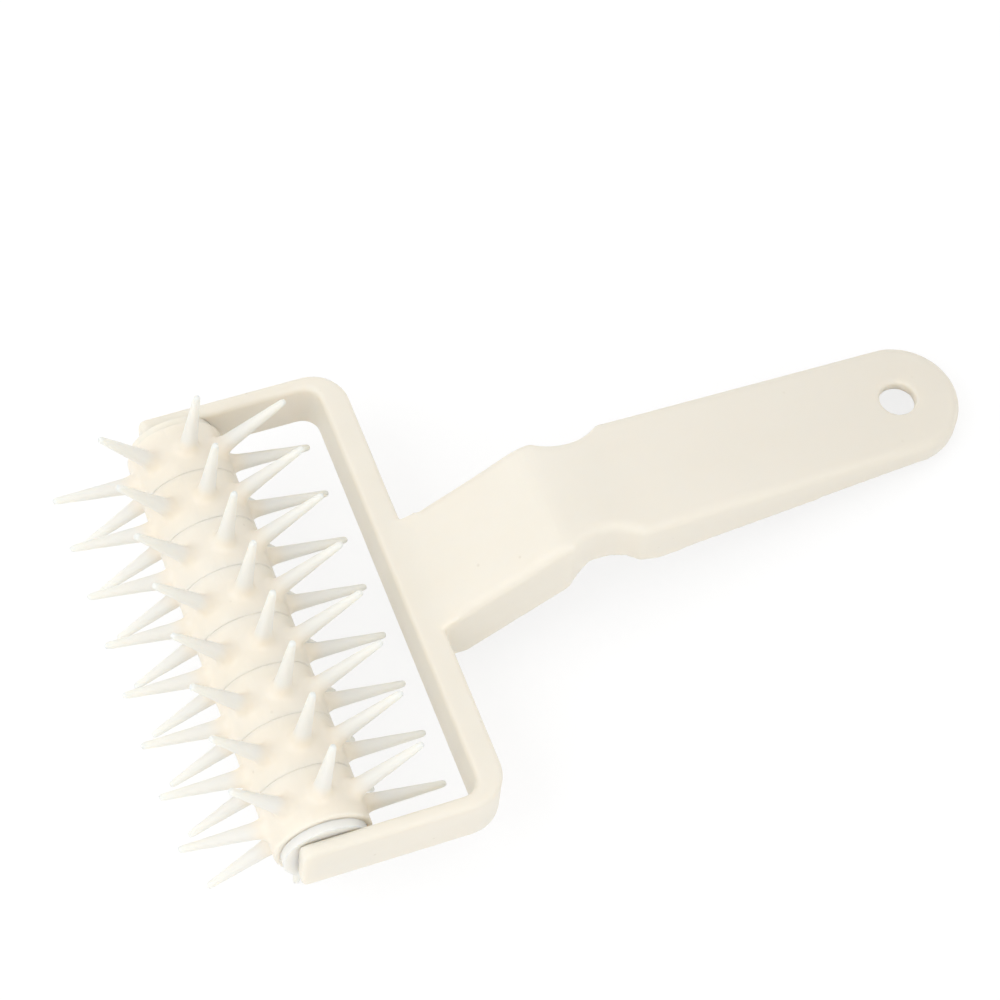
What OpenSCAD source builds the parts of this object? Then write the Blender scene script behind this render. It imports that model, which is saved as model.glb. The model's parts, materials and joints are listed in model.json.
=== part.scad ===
// Roller dough docker: a yoke and a handle in one moulding, with a free-turning roller of pin rings.
// The pieces are drawn with the roller axis along Y through the origin and the handle along +X.
// Then they are set down as the tool lies on a table: on two rows of pins and the handle's end.
// Yoke and handle are two nodes that meet on the crossbar's outer face.

/* [Roller] */
// Number of pin rings on the axle
ring_count = 8; // [2:1:10]
// Width of one ring along the axle
ring_pitch = 13.5; // [11:0.5:18]
// Radius of a ring's hub
hub_radius = 11.6; // [10:0.1:13]
// Bevel on the rim of each hub, which shows as a seam between two rings
hub_bevel = 0.2; // [0.1:0.1:0.8]
// Number of pins round one ring
pins_per_ring = 8; // [6:2:10]
// Distance from the roller axis to the tip of a pin
pin_tip_reach = 32; // [26:0.5:36]
// Radius of a pin where it leaves its boss
pin_root_radius = 2.15; // [1.5:0.05:2.5]
// Radius of the rounded tip of a pin
pin_tip_radius = 0.85; // [0.5:0.05:1.2]
// Height of the conical boss that a pin stands on
boss_height = 1.3; // [0.8:0.1:2.5]
// How much wider the boss is at its foot than at its top
boss_flare = 0.8; // [0.4:0.1:1.2]

/* [Axle and washers] */
// Radius of the axle rod
axle_radius = 3; // [2:0.1:4]
// Radial running clearance of hubs, washers and sockets on the axle
running_clearance = 0.05; // [0.02:0.01:0.1]
// Depth of the blind socket in each arm
socket_depth = 2.4; // [1.5:0.1:2.8]
// Outer radius of the spacer washers
washer_radius = 10.3; // [6:0.1:11]
// Thickness of a spacer washer
washer_thickness = 2.2; // [1:0.1:4]
// Side play on each face of a washer, and at each end of the axle
side_play = 0.15; // [0.1:0.05:0.4]

/* [Yoke] */
// Thickness of the two arms
arm_thickness = 3.6; // [3.2:0.1:6]
// Height of arms and crossbar
arm_height = 15; // [12:0.5:18]
// Height of the arms' middle over the roller axis
arm_lift = 0.5; // [0:0.1:2]
// How far the arms reach past the roller axis, away from the handle
arm_nose = 7; // [5.5:0.1:12]
// Corner radius of the arms' free ends, seen from the side
nose_radius = 2.5; // [1:0.1:5]
// Thickness of the crossbar
bar_thickness = 6.7; // [5:0.1:10]
// Gap between the pin tips and the crossbar
bar_gap = 3.9; // [3:0.1:8]
// Outer corner radius of the yoke, seen from above
yoke_outer_radius = 9; // [6:0.5:12]
// Inner corner radius of the yoke, seen from above
yoke_inner_radius = 4; // [2:0.5:6]
// Rounding of the yoke's long edges
yoke_edge = 1.2; // [0.6:0.1:1.5]

/* [Neck] */
// Width of the neck
neck_width = 30.2; // [28:0.2:36]
// Slope of the neck, in degrees
neck_slope = 34; // [28:1:40]
// Depth of the neck, square to its slope
neck_depth = 16; // [14:0.5:18]
// Radius of the bend from the neck into the handle
crest_radius = 10; // [8:0.5:16]

/* [Handle] */
// Height of the handle's top face over the roller axis
handle_top = 26.2; // [22:0.2:32]
// Straight edge left between the neck's bend and the hollows of the waist
waist_lead = 0.4; // [0.2:0.1:4]
// Width at the waist
waist_width = 25.2; // [22:0.2:27]
// Radius of the two hollows that make the waist
waist_radius = 14; // [10:0.5:18]
// Depth of the handle at the waist
waist_depth = 12; // [10:0.5:14]
// Length of the grip, from the waist to the middle of the round end
grip_length = 79.1; // [60:0.5:110]
// Width of the grip where it starts, at the waist
grip_start_width = 31.6; // [31:0.2:34]
// Depth of the grip where it starts
grip_start_depth = 14.4; // [12:0.2:16]
// Width of the grip at its round end
grip_end_width = 29.2; // [27:0.2:30]
// Depth of the grip at its round end
grip_end_depth = 6.6; // [6:0.2:9]
// Rounding of the top edges of neck and handle
top_edge = 2; // [1:0.1:2.4]
// Radius of the hanging hole
hole_radius = 4.3; // [3:0.1:5.5]
// How far the hanging hole lies before the middle of the round end
hole_setback = 0; // [0:0.1:3]

/* [Ribbed underside] */
// Wall of the neck and the handle
shell_wall = 3.3; // [2.8:0.1:4]
// Thickness of the ribs
rib_thickness = 2; // [1.4:0.1:3]
// Distance from one cross rib to the next
rib_spacing = 17; // [14:0.5:24]
// Distance from the middle of the hanging hole to the last cross rib
hole_to_rib = 7; // [6.5:0.5:12]

/* [Hidden] */
$fn = 64;

ivory = [0.95, 0.92, 0.84];
pin_white = [0.96, 0.96, 0.93];
nylon_white = [0.97, 0.97, 0.96];

// How far a cut runs past the face that it opens
past = 1;
// Extra radius of a rounding, so that its rims are clean edges
bite = 0.01;
// Radius of the round end over half the grip's width there: they meet at a faint corner
end_bulge = 1.01;
// How deep a boss is rooted under its hub's skin
boss_root = 1.2;
// Extra radius of the boss's flat top round the foot of its pin
boss_rim = 0.15;
// Bevel on the ends of the axle rod
axle_bevel = 0.5;
// Flat faces that make the bend from the neck into the handle
crest_faces = 3;
// Thickness of neck left solid behind the crossbar
bar_backing = 1.5;
// Length of the level stretch under the waist
waist_flat = 6;
// Where the grip has its full starting depth, measured from the waist
grip_shoulder = 14;

// Roller
roller_length = ring_count * ring_pitch;
pin_step = 360 / pins_per_ring;
boss_top = hub_radius + boss_height;
pin_tip_center = pin_tip_reach - pin_tip_radius;
bore_radius = axle_radius + running_clearance;

// Yoke
arm_inner_y = roller_length / 2 + washer_thickness + 2 * side_play;
arm_outer_y = arm_inner_y + arm_thickness;
bar_inner_x = pin_tip_reach + bar_gap;
bar_outer_x = bar_inner_x + bar_thickness;
arm_top = arm_lift + arm_height / 2;
arm_bottom = arm_lift - arm_height / 2;
axle_length = 2 * (arm_inner_y + socket_depth - side_play);

// The neck's top line starts on the crossbar's outer top edge and bends into the handle's top face
bend_x = bar_outer_x + (handle_top - arm_top) / tan(neck_slope);
bend_tangent = crest_radius * tan(neck_slope / 2);
crest_center = [bend_x + bend_tangent, handle_top - crest_radius];
slope_length = (handle_top - arm_top) / sin(neck_slope) - bend_tangent;
crest_face_length = 2 * crest_radius * sin(neck_slope / crest_faces / 2);
neck_half = neck_width / 2;
hollow_start_x = bar_outer_x + bar_backing;

// Plan of the handle: the hollows of the waist start where they meet the neck's sides
waist_center_y = waist_width / 2 + waist_radius;
waist_run = sqrt(waist_radius ^ 2 - (waist_center_y - neck_half) ^ 2);
waist_x = crest_center[0] + waist_lead + waist_run;
grip_start_half = grip_start_width / 2;
grip_end_half = grip_end_width / 2;
grip_end_x = waist_x + grip_length;
hole_x = grip_end_x - hole_setback;
last_rib_x = hole_x - hole_to_rib - rib_thickness;
rib_count = floor((last_rib_x - hollow_start_x) / rib_spacing);

// The grip's sides run from the waist to where the round end cuts them off
end_radius = grip_end_half * end_bulge;
end_reach = sqrt(end_radius ^ 2 - grip_end_half ^ 2);
end_start = atan(end_reach / 2 / end_radius);
side_run = grip_length + end_reach;
grip_taper = atan((grip_start_half - grip_end_half) / side_run);
tool_end_x = grip_end_x + end_radius;

// At rest the lowest points are the pin tips of two rows and the handle's end
axle_height = pin_tip_center * cos(pin_step / 2) + pin_tip_radius;
end_bottom = handle_top - grip_end_depth;
rest_tilt = asin(axle_height / norm([tool_end_x, end_bottom])) + atan(end_bottom / tool_end_x);
front_reach = pin_tip_center * cos(pin_step / 2) + pin_tip_radius;
back_reach = (tool_end_x - top_edge) * cos(rest_tilt) + (handle_top - top_edge) * sin(rest_tilt) + top_edge;
axle_x = -(back_reach - front_reach) / 2;

// Puts the roller, drawn about the origin, on its place over the table
module on_table() {
    translate([axle_x, 0, axle_height])
        children();
}

// Puts the yoke and what it carries on the table, leaning back onto the handle's end
module leaning() {
    on_table()
        rotate([0, rest_tilt, 0])
            children();
}

// Section of the waste that rounds an edge at the origin, with the material below and to the left
module edge_section(r) {
    difference() {
        translate([-r, -r])
            square(r + past);
        translate([-r, -r])
            circle(r + bite);
    }
}

// Waste along a straight top edge that runs from the origin along +X, with the material on the -Y side
module straight_waste(length, r) {
    rotate([90, 0, 90])
        linear_extrude(length)
            edge_section(r);
}

// Waste along the top edge of a round corner, from angle start through sweep
module corner_waste(radius, r, start, sweep) {
    rotate([0, 0, start])
        rotate_extrude(angle = sweep)
            translate([radius, 0])
                edge_section(r);
}

// Waste along the top edge of a round hollow, from angle start through sweep
module hollow_waste(radius, r, start, sweep) {
    rotate([0, 0, start])
        rotate_extrude(angle = sweep)
            translate([radius, 0])
                mirror([1, 0])
                    edge_section(r);
}

// The yoke seen from above
module yoke_plan() {
    difference() {
        union() {
            translate([-arm_nose, -arm_outer_y])
                square([arm_nose + bar_outer_x - yoke_outer_radius, 2 * arm_outer_y]);
            translate([0, yoke_outer_radius - arm_outer_y])
                square([bar_outer_x, 2 * (arm_outer_y - yoke_outer_radius)]);
            for (side = [-1, 1])
                translate([bar_outer_x - yoke_outer_radius, side * (arm_outer_y - yoke_outer_radius)])
                    circle(yoke_outer_radius);
        }
        translate([-arm_nose - past, -arm_inner_y])
            square([arm_nose + past + bar_inner_x - yoke_inner_radius, 2 * arm_inner_y]);
        translate([0, yoke_inner_radius - arm_inner_y])
            square([bar_inner_x, 2 * (arm_inner_y - yoke_inner_radius)]);
        for (side = [-1, 1])
            translate([bar_inner_x - yoke_inner_radius, side * (arm_inner_y - yoke_inner_radius)])
                circle(yoke_inner_radius);
    }
}

// The yoke seen from the side, with rounded free ends
module yoke_side() {
    union() {
        translate([nose_radius - arm_nose, arm_bottom])
            square([arm_nose + bar_outer_x - nose_radius, arm_height]);
        translate([-arm_nose, arm_bottom + nose_radius])
            square([arm_nose, arm_height - 2 * nose_radius]);
        for (z = [arm_bottom + nose_radius, arm_top - nose_radius])
            translate([nose_radius - arm_nose, z])
                circle(nose_radius);
    }
}

// Waste that rounds the upper edges of the yoke's -Y half, but not where the neck stands
module yoke_edge_waste() {
    corner_x = bar_outer_x - yoke_outer_radius;
    corner_y = arm_outer_y - yoke_outer_radius;
    inner_x = bar_inner_x - yoke_inner_radius;
    inner_y = arm_inner_y - yoke_inner_radius;
    translate([corner_x, -arm_outer_y, 0])
        rotate([0, 0, 180])
            straight_waste(corner_x + arm_nose + past, yoke_edge);
    translate([corner_x, -corner_y, 0])
        corner_waste(yoke_outer_radius, yoke_edge, -90, 90);
    translate([bar_outer_x, -neck_half, 0])
        rotate([0, 0, -90])
            straight_waste(corner_y - neck_half, yoke_edge);
    translate([-arm_nose - past, -arm_inner_y, 0])
        straight_waste(inner_x + arm_nose + past, yoke_edge);
    translate([inner_x, -inner_y, 0])
        hollow_waste(yoke_inner_radius, yoke_edge, -90, 90);
    translate([bar_inner_x, -inner_y, 0])
        rotate([0, 0, 90])
            straight_waste(inner_y, yoke_edge);
}

module yoke() {
    color(ivory)
        leaning()
            difference() {
                intersection() {
                    translate([0, 0, arm_bottom])
                        linear_extrude(arm_height)
                            yoke_plan();
                    translate([0, arm_outer_y + past, 0])
                        rotate([90, 0, 0])
                            linear_extrude(2 * (arm_outer_y + past))
                                yoke_side();
                }
                translate([0, 0, arm_lift])
                    for (half = [0, 1], flip = [0, 1])
                        mirror([0, half, 0])
                            mirror([0, 0, flip])
                                translate([0, 0, arm_height / 2])
                                    yoke_edge_waste();
                for (side = [-1, 1])
                    translate([0, side * arm_inner_y, 0])
                        rotate([-90 * side, 0, 0])
                            translate([0, 0, -past])
                                cylinder(h = socket_depth + past, r = bore_radius);
            }
}

// Neck and handle seen from above, drawn in by inset all round
module handle_plan(inset) {
    difference() {
        union() {
            translate([bar_outer_x, inset - neck_half])
                square([waist_x - bar_outer_x + past, neck_width - 2 * inset]);
            polygon([
                [waist_x, inset - side_y(waist_x)],
                [tool_end_x + past, inset - side_y(tool_end_x + past)],
                [tool_end_x + past, side_y(tool_end_x + past) - inset],
                [waist_x, side_y(waist_x) - inset]
            ]);
        }
        for (side = [-1, 1])
            translate([waist_x, side * waist_center_y])
                circle(waist_radius + inset);
        difference() {
            translate([grip_end_x + end_reach / 2, -neck_width])
                square([end_radius + past, 2 * neck_width]);
            translate([grip_end_x, 0])
                circle(end_radius - inset);
        }
    }
}

// Half the grip's width at a distance from the roller axis
function side_y(x) = grip_start_half - (x - waist_x) * tan(grip_taper);

// Slope of the bend at its corner number i, counted up from the neck, and that corner in side view
function crest_slope(i) = neck_slope * (1 - i / crest_faces);
function crest_point(i) = crest_center + crest_radius * [-sin(crest_slope(i)), cos(crest_slope(i))];

// Height of the neck's under side at a distance from the roller axis
function neck_under(x) = arm_top + (x - bar_outer_x) * tan(neck_slope) - neck_depth / cos(neck_slope);

// Side view of neck and handle, from the crossbar to past the round end
module handle_side() {
    polygon(concat(
        [[bar_outer_x, arm_bottom], [bar_outer_x, arm_top]],
        [for (i = [0:crest_faces]) crest_point(i)],
        [
            [tool_end_x + past, handle_top],
            [tool_end_x + past, end_bottom],
            [grip_end_x, end_bottom],
            [waist_x + grip_shoulder, handle_top - grip_start_depth],
            [waist_x + waist_flat, handle_top - waist_depth],
            [waist_x - waist_flat / 2, handle_top - waist_depth],
            [crest_center[0], neck_under(crest_center[0])],
            [bar_outer_x + (arm_bottom - neck_under(bar_outer_x)) / tan(neck_slope), arm_bottom]
        ]
    ));
}

// Side view of the hollow under neck and handle, one wall below their top face
module hollow_side() {
    lowered_bend_x = bend_x + shell_wall * tan(neck_slope / 2);
    lowered_top = handle_top - shell_wall;
    polygon([
        [hollow_start_x, arm_bottom - past],
        [hollow_start_x, lowered_top - (lowered_bend_x - hollow_start_x) * tan(neck_slope)],
        [lowered_bend_x, lowered_top],
        [tool_end_x + past, lowered_top],
        [tool_end_x + past, arm_bottom - past]
    ]);
}

// Waste that rounds the upper edges of neck and handle on the -Y side, up to the round end
module handle_side_waste() {
    mirror([0, 1, 0]) {
        translate([bar_outer_x, neck_half, arm_top])
            rotate([0, -neck_slope, 0])
                translate([-past, 0, 0])
                    straight_waste(slope_length + 2 * past, top_edge);
        for (i = [0:crest_faces - 1])
            translate([crest_point(i)[0], neck_half, crest_point(i)[1]])
                rotate([0, -crest_slope(i + 0.5), 0])
                    translate([-past, 0, 0])
                        straight_waste(crest_face_length + 2 * past, top_edge);
        translate([crest_center[0] - past, neck_half, handle_top])
            straight_waste(past + waist_lead + waist_run, top_edge);
        translate([waist_x, grip_start_half, handle_top])
            rotate([0, 0, -grip_taper])
                straight_waste(side_run / cos(grip_taper) + past, top_edge);
        translate([waist_x, waist_center_y, handle_top])
            hollow_waste(waist_radius, top_edge, -180, 180);
    }
}

// The ribs under neck and handle: one along the middle, the others across
module ribs() {
    translate([bar_outer_x, -rib_thickness / 2, arm_bottom])
        cube([last_rib_x - bar_outer_x, rib_thickness, handle_top - arm_bottom]);
    for (i = [0:rib_count])
        translate([last_rib_x - i * rib_spacing, -neck_half, arm_bottom])
            cube([rib_thickness, neck_width, handle_top - arm_bottom]);
}

// The hollow under neck and handle, with its ribs left standing
module underside_waste() {
    difference() {
        intersection() {
            translate([0, 0, arm_bottom - 2 * past])
                linear_extrude(handle_top - arm_bottom + 2 * past)
                    handle_plan(shell_wall);
            translate([0, neck_half, 0])
                rotate([90, 0, 0])
                    linear_extrude(neck_width)
                        hollow_side();
        }
        ribs();
    }
}

module handle() {
    color(ivory)
        leaning()
            difference() {
                intersection() {
                    translate([0, 0, arm_bottom - past])
                        linear_extrude(handle_top - arm_bottom + 2 * past)
                            handle_plan(0);
                    translate([0, grip_start_half + past, 0])
                        rotate([90, 0, 0])
                            linear_extrude(grip_start_width + 2 * past)
                                handle_side();
                }
                for (half = [0, 1])
                    mirror([0, half, 0])
                        handle_side_waste();
                translate([grip_end_x, 0, handle_top])
                    corner_waste(end_radius, top_edge, end_start - 90, 180 - 2 * end_start);
                underside_waste();
                translate([hole_x, 0, end_bottom])
                    cylinder(h = grip_end_depth + past, r = hole_radius);
            }
}

module axle() {
    color(nylon_white)
        leaning()
            rotate([90, 0, 0])
                translate([0, 0, -axle_length / 2])
                    rotate_extrude()
                        polygon([
                            [0, 0],
                            [axle_radius - axle_bevel, 0],
                            [axle_radius, axle_bevel],
                            [axle_radius, axle_length - axle_bevel],
                            [axle_radius - axle_bevel, axle_length],
                            [0, axle_length]
                        ]);
}

// A spacer washer between the roller and an arm: side is -1 for the near arm and 1 for the far one
module washer(side) {
    color(side < 0 ? nylon_white : ivory)
        leaning()
            translate([0, side * (roller_length / 2 + side_play), 0])
                rotate([-90 * side, 0, 0])
                    difference() {
                        cylinder(h = washer_thickness, r = washer_radius);
                        translate([0, 0, -past])
                            cylinder(h = washer_thickness + 2 * past, r = bore_radius);
                    }
}

// Middle of a ring along the axle: ring 1 is at the far arm
function ring_y(i) = ((ring_count + 1) / 2 - i) * ring_pitch;

// Lays out one copy for each pin of ring i, with +X outwards from the roller axis
module round_ring(i) {
    translate([0, ring_y(i), 0])
        for (k = [0:pins_per_ring - 1])
            rotate([0, (k + 0.5) * pin_step + 90, 0])
                children();
}

module hub(i) {
    color(ivory)
        on_table()
            difference() {
                union() {
                    translate([0, ring_y(i) + ring_pitch / 2, 0])
                        rotate([90, 0, 0])
                            rotate_extrude()
                                polygon([
                                    [0, 0],
                                    [hub_radius - hub_bevel, 0],
                                    [hub_radius, hub_bevel],
                                    [hub_radius, ring_pitch - hub_bevel],
                                    [hub_radius - hub_bevel, ring_pitch],
                                    [0, ring_pitch]
                                ]);
                    round_ring(i)
                        translate([hub_radius - boss_root, 0, 0])
                            rotate([0, 90, 0])
                                cylinder(
                                    h = boss_root + boss_height,
                                    r1 = pin_root_radius + boss_rim + boss_flare,
                                    r2 = pin_root_radius + boss_rim
                                );
                }
                translate([0, ring_y(i) + ring_pitch / 2 + past, 0])
                    rotate([90, 0, 0])
                        cylinder(h = ring_pitch + 2 * past, r = bore_radius);
            }
}

module pins(i) {
    color(pin_white)
        on_table()
            round_ring(i) {
                translate([boss_top, 0, 0])
                    rotate([0, 90, 0])
                        cylinder(h = pin_tip_center - boss_top, r1 = pin_root_radius, r2 = pin_tip_radius);
                translate([pin_tip_center, 0, 0])
                    sphere(pin_tip_radius);
            }
}

yoke();
handle();
axle();
washer(-1);  // washer_near
washer(1);  // washer_far
for (i = [1:ring_count]) {
    hub(i);
    pins(i);
}
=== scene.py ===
import json
import math

import bmesh
import bpy
from mathutils import Euler, Matrix, Vector


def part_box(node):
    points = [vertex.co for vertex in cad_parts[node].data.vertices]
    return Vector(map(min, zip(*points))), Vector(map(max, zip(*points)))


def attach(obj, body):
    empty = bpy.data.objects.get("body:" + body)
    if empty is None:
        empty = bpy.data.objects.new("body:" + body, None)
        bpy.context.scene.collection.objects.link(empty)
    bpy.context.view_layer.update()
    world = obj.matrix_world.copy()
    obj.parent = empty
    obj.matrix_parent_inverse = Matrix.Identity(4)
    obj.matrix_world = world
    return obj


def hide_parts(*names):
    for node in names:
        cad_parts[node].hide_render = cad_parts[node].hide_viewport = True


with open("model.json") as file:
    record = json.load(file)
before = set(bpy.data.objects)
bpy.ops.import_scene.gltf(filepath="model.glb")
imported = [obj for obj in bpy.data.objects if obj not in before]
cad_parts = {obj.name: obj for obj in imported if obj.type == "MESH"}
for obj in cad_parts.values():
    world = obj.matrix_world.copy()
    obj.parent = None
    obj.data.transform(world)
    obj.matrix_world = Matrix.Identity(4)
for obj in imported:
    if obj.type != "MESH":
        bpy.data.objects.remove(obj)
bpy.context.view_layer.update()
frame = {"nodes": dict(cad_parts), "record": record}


# Camera
# The tool is seen steeply from above its near side, with a long lens from about 0.8 m, and the
# camera is rolled so that the handle climbs to the upper right of the frame.
CAMERA_PLACE = (-0.00467, -0.3652, 0.73163)
CAMERA_TURN = (25.891, 10.891, -20.996)
LENS_MM = 124.2
SENSOR_MM = 36.0
FARTHEST_SEEN = 20.0

camera_data = bpy.data.cameras.new("camera")
camera_data.lens = LENS_MM
camera_data.sensor_width = SENSOR_MM
camera_data.clip_end = FARTHEST_SEEN
camera = bpy.data.objects.new("camera", camera_data)
camera.location = CAMERA_PLACE
camera.rotation_euler = Euler([math.radians(angle) for angle in CAMERA_TURN], "XYZ")
bpy.context.scene.collection.objects.link(camera)
bpy.context.scene.camera = camera


# Floor, world and lamps
# A white table top with a faint shadow, which is clear from below so that the underside shows,
# an even white room, and one large soft lamp from the roller's side, with a weaker one in front.
FLOOR_HALF = 3.0
FLOOR_PARTS = 8
FLOOR_WHITE = (0.9, 0.9, 0.895, 1.0)
FLOOR_SHOWN = (0.25, 0.25, 0.25, 1.0)
FLOOR_GLOW = 0.765
FLOOR_UNEVEN = 0.01
FLOOR_GRAIN_SCALE = 60.0
FLOOR_GRAIN_DETAIL = 4.0
ROOM_WHITE = (1.0, 1.0, 1.0, 1.0)
ROOM_LIGHT = 0.85
LAMPS = {
    "key": {"place": (-0.42, 0.0, 0.6), "size": 0.55, "power": 1.25},
    "fill": {"place": (0.2, -0.75, 0.45), "size": 0.9, "power": 1.08},
}


def nodes_of(owner):
    """An empty node tree of a material or world, with its output node."""
    owner.use_nodes = True
    owner.node_tree.nodes.clear()
    kind = "ShaderNodeOutputWorld" if isinstance(owner, bpy.types.World) else "ShaderNodeOutputMaterial"
    return owner.node_tree, owner.node_tree.nodes.new(kind)


def add_node(tree, kind, inputs=None, **settings):
    """A node with its settings, whose inputs are values or other nodes' outputs."""
    made = tree.nodes.new(kind)
    for name, value in settings.items():
        setattr(made, name, value)
    for key, value in (inputs or {}).items():
        if isinstance(value, bpy.types.NodeSocket):
            tree.links.new(value, made.inputs[key])
        else:
            made.inputs[key].default_value = value
    return made


def noise(tree, place, scale, detail):
    """Soft noise about 0.5, at a scale in lumps per metre."""
    return add_node(
        tree, "ShaderNodeTexNoise", {"Vector": place, "Scale": scale, "Detail": detail}
    ).outputs["Fac"]


def remap(tree, value, source, target, interpolation="LINEAR"):
    """A value that runs through the target range while another runs through the source range."""
    limits = {"From Min": source[0], "From Max": source[1], "To Min": target[0], "To Max": target[1]}
    return add_node(
        tree, "ShaderNodeMapRange", {"Value": value, **limits}, interpolation_type=interpolation
    ).outputs[0]


def directly_seen(tree):
    """1 for rays that show a surface as it is: straight on, mirrored or through something clear."""
    ray = add_node(tree, "ShaderNodeLightPath").outputs
    mirrored = add_node(
        tree,
        "ShaderNodeMath",
        {0: ray["Is Glossy Ray"], 1: ray["Is Transmission Ray"]},
        operation="MAXIMUM",
    )
    return add_node(
        tree,
        "ShaderNodeMath",
        {0: ray["Is Camera Ray"], 1: mirrored.outputs[0]},
        operation="MAXIMUM",
    ).outputs[0]


floor_material = bpy.data.materials.new("white_table")
tree, output = nodes_of(floor_material)
place = add_node(tree, "ShaderNodeTexCoord").outputs["Generated"]
grain = noise(tree, place, FLOOR_GRAIN_SCALE, FLOOR_GRAIN_DETAIL)
lit = add_node(tree, "ShaderNodeBsdfDiffuse", {"Color": FLOOR_WHITE})
faint = add_node(tree, "ShaderNodeBsdfDiffuse", {"Color": FLOOR_SHOWN})
strength = remap(tree, grain, (0.0, 1.0), (FLOOR_GLOW, FLOOR_GLOW + FLOOR_UNEVEN))
glow = add_node(tree, "ShaderNodeEmission", {"Strength": strength})
shown = add_node(tree, "ShaderNodeAddShader", {0: faint.outputs[0], 1: glow.outputs[0]})
above = add_node(
    tree, "ShaderNodeMixShader", {0: directly_seen(tree), 1: lit.outputs[0], 2: shown.outputs[0]}
)
clear = add_node(tree, "ShaderNodeBsdfTransparent")
below = add_node(tree, "ShaderNodeNewGeometry").outputs["Backfacing"]
both = add_node(tree, "ShaderNodeMixShader", {0: below, 1: above.outputs[0], 2: clear.outputs[0]})
tree.links.new(both.outputs[0], output.inputs["Surface"])

floor_mesh = bpy.data.meshes.new("table_top")
floor_bm = bmesh.new()
bmesh.ops.create_grid(floor_bm, x_segments=FLOOR_PARTS, y_segments=FLOOR_PARTS, size=FLOOR_HALF)
floor_bm.to_mesh(floor_mesh)
floor_bm.free()
floor = bpy.data.objects.new("table_top", floor_mesh)
floor_mesh.materials.append(floor_material)
bpy.context.scene.collection.objects.link(floor)

room = bpy.data.worlds.new("room")
bpy.context.scene.world = room
tree, output = nodes_of(room)
strength = remap(tree, directly_seen(tree), (0.0, 1.0), (ROOM_LIGHT, 1.0))
sky = add_node(tree, "ShaderNodeBackground", {"Color": ROOM_WHITE, "Strength": strength})
tree.links.new(sky.outputs[0], output.inputs["Surface"])

for lamp_name, lamp in LAMPS.items():
    lamp_data = bpy.data.lights.new(lamp_name, "AREA")
    lamp_data.size = lamp["size"]
    lamp_data.energy = lamp["power"]
    lamp_object = bpy.data.objects.new(lamp_name, lamp_data)
    lamp_object.location = lamp["place"]
    lamp_object.rotation_euler = (-Vector(lamp["place"])).to_track_quat("-Z", "Y").to_euler()
    bpy.context.scene.collection.objects.link(lamp_object)

bpy.context.scene.view_settings.view_transform = "Standard"


# Moulded plastic
# One group gives every plastic piece the look of a cheap injection moulding: a tone that drifts
# softly with the flow of the melt, a few tiny dark specks in it, a satin skin that is a little
# uneven, and a faint grain.
FLOW_STRETCH = (0.35, 1.0, 1.0)
FLOW_SCALE = 55.0
FLOW_DETAIL = 3.0
FLOW_RANGE = (0.35, 0.7)
SATIN_SCALE = 140.0
SATIN_DETAIL = 4.0
SATIN_ROUGHNESS = (0.34, 0.5)
GRAIN_SCALE = 1900.0
GRAIN_DETAIL = 2.0
GRAIN_STRENGTH = 0.12
GRAIN_HEIGHT = 0.00008
SPECK = (0.52, 0.45, 0.33, 1.0)
SPECK_CELLS = 200.0
SPECK_SIZE = 0.1
SPECK_SHARE = 0.35
SPECK_RARITY = 0.75
PLASTIC_IOR = 1.5
GLOW_COLOURS = (1.0, 0.75, 0.45)
GLOW_DEPTH = 0.004


def moulded_skin():
    """The node group: two tones in, and a colour, roughness and normal out."""
    group = bpy.data.node_groups.new("moulded_skin", "ShaderNodeTree")
    group.interface.new_socket("Tone", in_out="INPUT", socket_type="NodeSocketColor")
    group.interface.new_socket("Drift", in_out="INPUT", socket_type="NodeSocketColor")
    group.interface.new_socket("Color", in_out="OUTPUT", socket_type="NodeSocketColor")
    group.interface.new_socket("Roughness", in_out="OUTPUT", socket_type="NodeSocketFloat")
    group.interface.new_socket("Normal", in_out="OUTPUT", socket_type="NodeSocketVector")
    start = group.nodes.new("NodeGroupInput")
    end = group.nodes.new("NodeGroupOutput")
    place = add_node(group, "ShaderNodeTexCoord").outputs["Object"]
    along = add_node(group, "ShaderNodeMapping", {"Vector": place, "Scale": FLOW_STRETCH})
    flow = noise(group, along.outputs[0], FLOW_SCALE, FLOW_DETAIL)
    share = remap(group, flow, FLOW_RANGE, (0.0, 1.0))
    tones = add_node(group, "ShaderNodeMix", data_type="RGBA")
    group.links.new(share, tones.inputs["Factor"])
    group.links.new(start.outputs["Tone"], tones.inputs["A"])
    group.links.new(start.outputs["Drift"], tones.inputs["B"])
    patches = noise(group, place, SATIN_SCALE, SATIN_DETAIL)
    satin = remap(group, patches, (0.0, 1.0), SATIN_ROUGHNESS)
    fine = noise(group, place, GRAIN_SCALE, GRAIN_DETAIL)
    grain_bump = add_node(
        group,
        "ShaderNodeBump",
        {"Height": fine, "Strength": GRAIN_STRENGTH, "Distance": GRAIN_HEIGHT},
    )
    cells = add_node(group, "ShaderNodeTexVoronoi", {"Vector": place, "Scale": SPECK_CELLS})
    spot = remap(group, cells.outputs["Distance"], (0.0, SPECK_SIZE), (SPECK_SHARE, 0.0))
    chosen = add_node(
        group, "ShaderNodeMath", {0: cells.outputs["Color"], 1: SPECK_RARITY}, operation="GREATER_THAN"
    )
    speck = add_node(
        group, "ShaderNodeMath", {0: spot, 1: chosen.outputs[0]}, operation="MULTIPLY"
    )
    specked = add_node(group, "ShaderNodeMix", data_type="RGBA")
    specked.inputs["B"].default_value = SPECK
    group.links.new(speck.outputs[0], specked.inputs["Factor"])
    group.links.new(tones.outputs["Result"], specked.inputs["A"])
    group.links.new(specked.outputs["Result"], end.inputs["Color"])
    group.links.new(satin, end.inputs["Roughness"])
    group.links.new(grain_bump.outputs[0], end.inputs["Normal"])
    return group


skin_group = moulded_skin()


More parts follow.
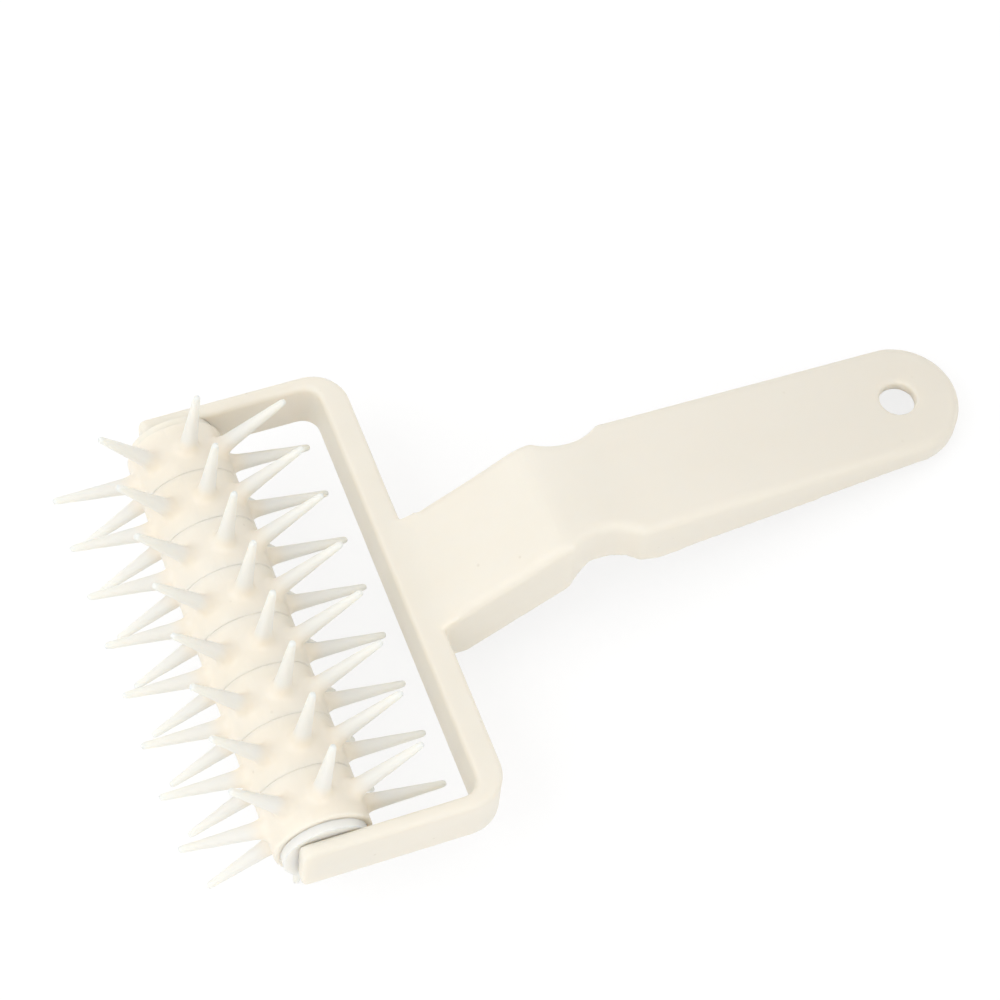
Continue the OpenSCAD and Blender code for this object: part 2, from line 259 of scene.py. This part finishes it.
def plastic(name, tone, drift, glow):
    """A moulded plastic: its two tones, and the share of the light that soaks into it."""
    material = bpy.data.materials.new(name)
    tree, output = nodes_of(material)
    shader = add_node(tree, "ShaderNodeBsdfPrincipled")
    shader.subsurface_method = "BURLEY"
    shader.inputs["IOR"].default_value = PLASTIC_IOR
    shader.inputs["Subsurface Weight"].default_value = glow
    shader.inputs["Subsurface Radius"].default_value = GLOW_COLOURS
    shader.inputs["Subsurface Scale"].default_value = GLOW_DEPTH
    skin = add_node(tree, "ShaderNodeGroup", node_tree=skin_group)
    skin.inputs["Tone"].default_value = tone
    skin.inputs["Drift"].default_value = drift
    tree.links.new(skin.outputs["Color"], shader.inputs["Base Color"])
    tree.links.new(skin.outputs["Roughness"], shader.inputs["Roughness"])
    tree.links.new(skin.outputs["Normal"], shader.inputs["Normal"])
    tree.links.new(shader.outputs[0], output.inputs["Surface"])
    return material


# Yoke and handle
# One moulding in ivory plastic. Its crossbar runs into the sloping neck with a soft fillet, and
# the neck bends softly into the flat handle, with a hanging hole in its round end.
IVORY = (0.861, 0.817, 0.72, 1.0)
IVORY_DRIFT = (0.846, 0.797, 0.69, 1.0)
IVORY_GLOW = 0.7
# Painted shade: the greyer tone towards the handle's end stands in for the key lamp's light falling off
# along the tool.
END_PAINTED_SHADE = (0.76, 0.714, 0.62, 1.0)
PAINTED_SHADE_RANGE = (-0.01, 0.1)
PAINTED_SHADE_SHARE = 0.6
BAR_EDGE_X = 0.0426
BAR_TOP_Z = 0.008
NECK_HALF_WIDTH = 0.0151
NECK_SLOPE = math.radians(34.0)
NECK_FILLET = 0.013
FILLET_STEPS = 16
FILLET_ROOT = 0.001
HANDLE_TOP_Z = 0.0262
CREST_X = 0.076
CREST_REACH = 0.018
CREST_RISE = 0.0013
CREST_DEPTH = 0.006
MOULDING_VOXEL = 0.0005
MOULDING_EASE = 10
MOULDING_KEPT = 0.3
WELD_DISTANCE = 1e-7

axle_low, axle_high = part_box("axle")
AXLE = (axle_low + axle_high) / 2
# The hanging hole is bored square to the tool, so its axis is the tool's up direction
TOOL_UP = Vector(frame["record"]["mounts"][0]["axis"])
TOOL_ALONG = Vector((TOOL_UP.z, 0.0, -TOOL_UP.x))


def tool_place(along, across, up):
    """A point given along the tool, across it and up from it, with the axle as the origin."""
    return AXLE + TOOL_ALONG * along + Vector((0.0, across, 0.0)) + TOOL_UP * up


def cad_copy(bm, *names):
    """Adds a copy of CAD nodes' meshes to bm, with their vertices welded."""
    for name in names:
        bm.from_mesh(frame["nodes"][name].data)
    bmesh.ops.remove_doubles(bm, verts=bm.verts, dist=WELD_DISTANCE)


def prism(bm, outline, half_width):
    """Adds a bar across the tool whose side view is the outline, a list of (along, up)."""
    sides = [
        [bm.verts.new(tool_place(along, across, up)) for along, up in outline]
        for across in (-half_width, half_width)
    ]
    near, far = sides
    count = len(outline)
    bm.faces.new(near)
    bm.faces.new(reversed(far))
    for i in range(count):
        j = (i + 1) % count
        bm.faces.new((near[j], near[i], far[i], far[j]))


def apply_modifiers(piece):
    """Puts what the piece's modifiers make into its mesh, and takes them off."""
    solved = piece.evaluated_get(bpy.context.evaluated_depsgraph_get())
    piece.data = bpy.data.meshes.new_from_object(solved)
    piece.modifiers.clear()
    piece.data.name = piece.name
    piece.data.shade_smooth()


def fused(name, bm, voxel):
    """A piece made of all the solids in bm as one skin."""
    bmesh.ops.recalc_face_normals(bm, faces=bm.faces)
    mesh = bpy.data.meshes.new(name)
    bm.to_mesh(mesh)
    bm.free()
    piece = bpy.data.objects.new(name, mesh)
    bpy.context.scene.collection.objects.link(piece)
    skin = piece.modifiers.new("skin", "REMESH")
    skin.mode = "VOXEL"
    skin.voxel_size = voxel
    apply_modifiers(piece)
    piece.data.materials.clear()
    return piece


def ease(piece, rounds, kept, weights=""):
    """Softens a piece's edges and thins its mesh out where it is flat."""
    easing = piece.modifiers.new("easing", "SMOOTH")
    easing.iterations = rounds
    easing.vertex_group = weights
    thinning = piece.modifiers.new("thinning", "DECIMATE")
    thinning.ratio = kept
    apply_modifiers(piece)


def neck_fillet():
    """Side view of the plastic that fills the corner between the crossbar's top and the neck."""
    reach = NECK_FILLET * math.tan(NECK_SLOPE / 2)
    center = (BAR_EDGE_X - reach, BAR_TOP_Z + NECK_FILLET)
    outline = [
        (
            center[0] + NECK_FILLET * math.sin(NECK_SLOPE * step / FILLET_STEPS),
            center[1] - NECK_FILLET * math.cos(NECK_SLOPE * step / FILLET_STEPS),
        )
        for step in range(FILLET_STEPS + 1)
    ]
    end = outline[-1]
    outline.append((end[0], end[1] - FILLET_ROOT))
    outline.append((BAR_EDGE_X, BAR_TOP_Z - FILLET_ROOT))
    outline.append((center[0], BAR_TOP_Z - FILLET_ROOT))
    return outline


def raise_crest(mesh):
    """Lifts the top face a little where the neck bends into the handle, as on the real one."""
    for vertex in mesh.vertices:
        offset = vertex.co - AXLE
        along = offset.dot(TOOL_ALONG)
        top = min(HANDLE_TOP_Z, BAR_TOP_Z + (along - BAR_EDGE_X) * math.tan(NECK_SLOPE))
        near = 1.0 - abs(along - CREST_X) / CREST_REACH
        share = 1.0 - (top - offset.dot(TOOL_UP)) / CREST_DEPTH
        if near > 0.0 and share > 0.0:
            swell = math.sin(near * math.pi / 2) ** 2 * min(share, 1.0)
            vertex.co += TOOL_UP * CREST_RISE * swell


def shaded_by(material, share, tone):
    """Lets a material's colour turn into the tone where share, an output of its tree, is 1."""
    tree = material.node_tree
    shader = next(n for n in tree.nodes if n.type == "BSDF_PRINCIPLED")
    colour = shader.inputs["Base Color"].links[0].from_socket
    tones = add_node(tree, "ShaderNodeMix", data_type="RGBA")
    tones.inputs["B"].default_value = tone
    tree.links.new(share, tones.inputs["Factor"])
    tree.links.new(colour, tones.inputs["A"])
    tree.links.new(tones.outputs["Result"], shader.inputs["Base Color"])


def moulding_plastic():
    """The moulding's plastic: ivory, with painted shade that turns it greyer towards the handle's end,
    where the lamp's light falls off.
    """
    material = plastic("ivory_plastic", IVORY, IVORY_DRIFT, IVORY_GLOW)
    tree = material.node_tree
    place = add_node(tree, "ShaderNodeTexCoord").outputs["Object"]
    along = add_node(tree, "ShaderNodeSeparateXYZ", {"Vector": place}).outputs["X"]
    # Painted shade: the colour turns greyer along the tool towards the handle's end, in place of the
    # lamp's light falling off.
    shaded_by(material, remap(tree, along, PAINTED_SHADE_RANGE, (0.0, PAINTED_SHADE_SHARE), "SMOOTHSTEP"), END_PAINTED_SHADE)
    return material


moulding_bm = bmesh.new()
cad_copy(moulding_bm, "yoke", "handle")
prism(moulding_bm, neck_fillet(), NECK_HALF_WIDTH)
moulding = fused("moulding", moulding_bm, MOULDING_VOXEL)
raise_crest(moulding.data)
ease(moulding, MOULDING_EASE, kept=MOULDING_KEPT)
ivory = moulding_plastic()
moulding.data.materials.append(ivory)
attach(moulding, "frame")
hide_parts("yoke", "handle")


# Roller rings
# Eight rings on the axle, each moulded in one piece with its eight pins. The pins taper from
# soft, spread feet to round tips, and turn whiter outwards because thin plastic lets light in.
CORE = (0.885, 0.83, 0.725, 1.0)
CORE_DRIFT = (0.875, 0.805, 0.68, 1.0)
RING_GLOW = 0.6
PIN_WHITE = (0.825, 0.825, 0.79, 1.0)
WHITE_RANGE = (0.0118, 0.0175)
RINGS = sum(name.startswith("hub_") for name in frame["nodes"])
PINS = 8
RING_RADIUS = 0.0116
PIN_REACH = 0.032
PIN_ROOT = 0.00215
PIN_TIP = 0.00085
FOOT_SPREAD = 0.001
FOOT_FALL = 0.0009
FOOT_WIDEST = 0.005
FOOT_STEP = 0.0003
FOOT_ROOT = 4 * FOOT_STEP
FOOT_TOP = 3 * FOOT_FALL
CONE_STEP = 4 * FOOT_STEP
TIP_STEP_DEGREES = 15
QUARTER_DEGREES = 90
RING_VOXEL = 0.0004
RING_EASE = 14
RING_LEAST_EASE = 0.12
RING_KEPT = 0.4
RIM_SINK = 0.0001
EASED_FROM = 0.8 * RING_RADIUS
EASED_FROM_FADE = 0.1 * RING_RADIUS
EASED_TO = RING_RADIUS + 4 * FOOT_FALL
EASED_TO_FADE = 2 * FOOT_FALL
LATHE_SIDES = 40


def lathe(bm, outline, place):
    """Adds a closed turned solid: outline is (radius, height) pairs from one end to the other."""
    loops = [
        [
            bm.verts.new(
                place
                @ Vector((
                    radius * math.cos(math.tau * k / LATHE_SIDES),
                    radius * math.sin(math.tau * k / LATHE_SIDES),
                    height,
                ))
            )
            for k in range(LATHE_SIDES)
        ]
        for radius, height in outline
    ]
    for below, above in zip(loops, loops[1:]):
        for k in range(LATHE_SIDES):
            after = (k + 1) % LATHE_SIDES
            bm.faces.new((below[k], below[after], above[after], above[k]))
    bm.faces.new(reversed(loops[0]))
    bm.faces.new(loops[-1])


def pin_radius(height):
    """Radius of a pin's plain cone at a distance from the axle."""
    share = (height - RING_RADIUS) / (PIN_REACH - PIN_TIP - RING_RADIUS)
    return PIN_ROOT + (PIN_TIP - PIN_ROOT) * max(share, 0.0)


def pin_outline():
    """A pin with its spread foot and round tip, as (radius, distance from the axle) pairs."""
    outline = [(FOOT_WIDEST, RING_RADIUS - FOOT_WIDEST / 2)]
    height = RING_RADIUS - FOOT_ROOT
    while height < PIN_REACH - PIN_TIP:
        spread = FOOT_SPREAD * math.exp((RING_RADIUS - height) / FOOT_FALL)
        outline.append((min(pin_radius(height) + spread, FOOT_WIDEST), height))
        height += FOOT_STEP if height < RING_RADIUS + FOOT_TOP else CONE_STEP
    for degrees in range(0, QUARTER_DEGREES, TIP_STEP_DEGREES):
        turn = math.radians(degrees)
        outline.append((PIN_TIP * math.cos(turn), PIN_REACH - PIN_TIP + PIN_TIP * math.sin(turn)))
    return outline


def square_rims(mesh):
    """Brings back out the rims that the voxel skin cuts off, so that rings meet in a faint seam."""
    for vertex in mesh.vertices:
        offset = Vector((vertex.co.x - AXLE.x, 0.0, vertex.co.z - AXLE.z))
        missing = RING_RADIUS - RIM_SINK - offset.length
        if 0.0 < missing < RING_VOXEL:
            vertex.co += offset.normalized() * missing


def ring_easing(piece):
    """Vertex weights that ease the ring and its feet, hardly its bore and pins, and never its ends."""
    group = piece.vertex_groups.new(name="eased")
    for vertex in piece.data.vertices:
        height = math.hypot(vertex.co.x - AXLE.x, vertex.co.z - AXLE.z)
        inside = (height - EASED_FROM) / EASED_FROM_FADE
        outside = (EASED_TO - height) / EASED_TO_FADE
        seam = (half_pitch - abs(vertex.co.y - first_middle)) / RING_VOXEL - 1.0
        weight = min(max(min(inside, outside), RING_LEAST_EASE), max(seam, 0.0), 1.0)
        group.add([vertex.index], weight, "REPLACE")
    return group.name


def ring_plastic():
    """The ring's plastic: ivory at the core, fading to white along the pins."""
    material = plastic("ring_plastic", CORE, CORE_DRIFT, RING_GLOW)
    tree = material.node_tree
    place = add_node(tree, "ShaderNodeTexCoord").outputs["Object"]
    offset = add_node(
        tree,
        "ShaderNodeMapping",
        {"Vector": place, "Location": (-AXLE.x, 0.0, -AXLE.z)},
    )
    flat = add_node(
        tree, "ShaderNodeVectorMath", {0: offset.outputs[0], 1: (1.0, 0.0, 1.0)}, operation="MULTIPLY"
    )
    length = add_node(tree, "ShaderNodeVectorMath", {0: flat.outputs[0]}, operation="LENGTH")
    height = length.outputs["Value"]
    shaded_by(material, remap(tree, height, WHITE_RANGE, (0.0, 1.0), "SMOOTHSTEP"), PIN_WHITE)
    return material


ring_material = ring_plastic()
first_low, first_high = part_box("hub_1")
first_middle = (first_low.y + first_high.y) / 2
half_pitch = (first_high.y - first_low.y) / 2

ring_bm = bmesh.new()
cad_copy(ring_bm, "hub_1")
for turn in range(PINS):
    heading = Matrix.Rotation((turn + 0.5) * math.tau / PINS, 4, "Y")
    stand = Matrix.Translation((AXLE.x, first_middle, AXLE.z)) @ heading
    lathe(ring_bm, pin_outline(), stand)
ring_master = fused("ring_1", ring_bm, RING_VOXEL)
square_rims(ring_master.data)
ease(ring_master, RING_EASE, kept=RING_KEPT, weights=ring_easing(ring_master))
ring_master.vertex_groups.clear()
ring_master.data.materials.append(ring_material)

for number in range(1, RINGS + 1):
    ring = ring_master
    if number > 1:
        ring = bpy.data.objects.new(f"ring_{number}", ring_master.data.copy())
        bpy.context.scene.collection.objects.link(ring)
        low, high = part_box(f"hub_{number}")
        ring.data.transform(Matrix.Translation((0.0, (low.y + high.y) / 2 - first_middle, 0.0)))
    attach(ring, "roller")
    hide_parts(f"hub_{number}", f"pins_{number}")


# Axle and washers
# A plain rod that turns in blind sockets in the arms, and a flat spacer washer at each end: the
# near one is white nylon, and the far one, where no white shows, is ivory.
NYLON = (0.82, 0.81, 0.78, 1.0)
NYLON_DRIFT = (0.79, 0.78, 0.745, 1.0)
NYLON_GLOW = 0.7

nylon = plastic("white_nylon", NYLON, NYLON_DRIFT, NYLON_GLOW)
for node_name, material in (("axle", nylon), ("washer_near", nylon), ("washer_far", ivory)):
    data = frame["nodes"][node_name].data
    data.materials.clear()
    data.materials.append(material)
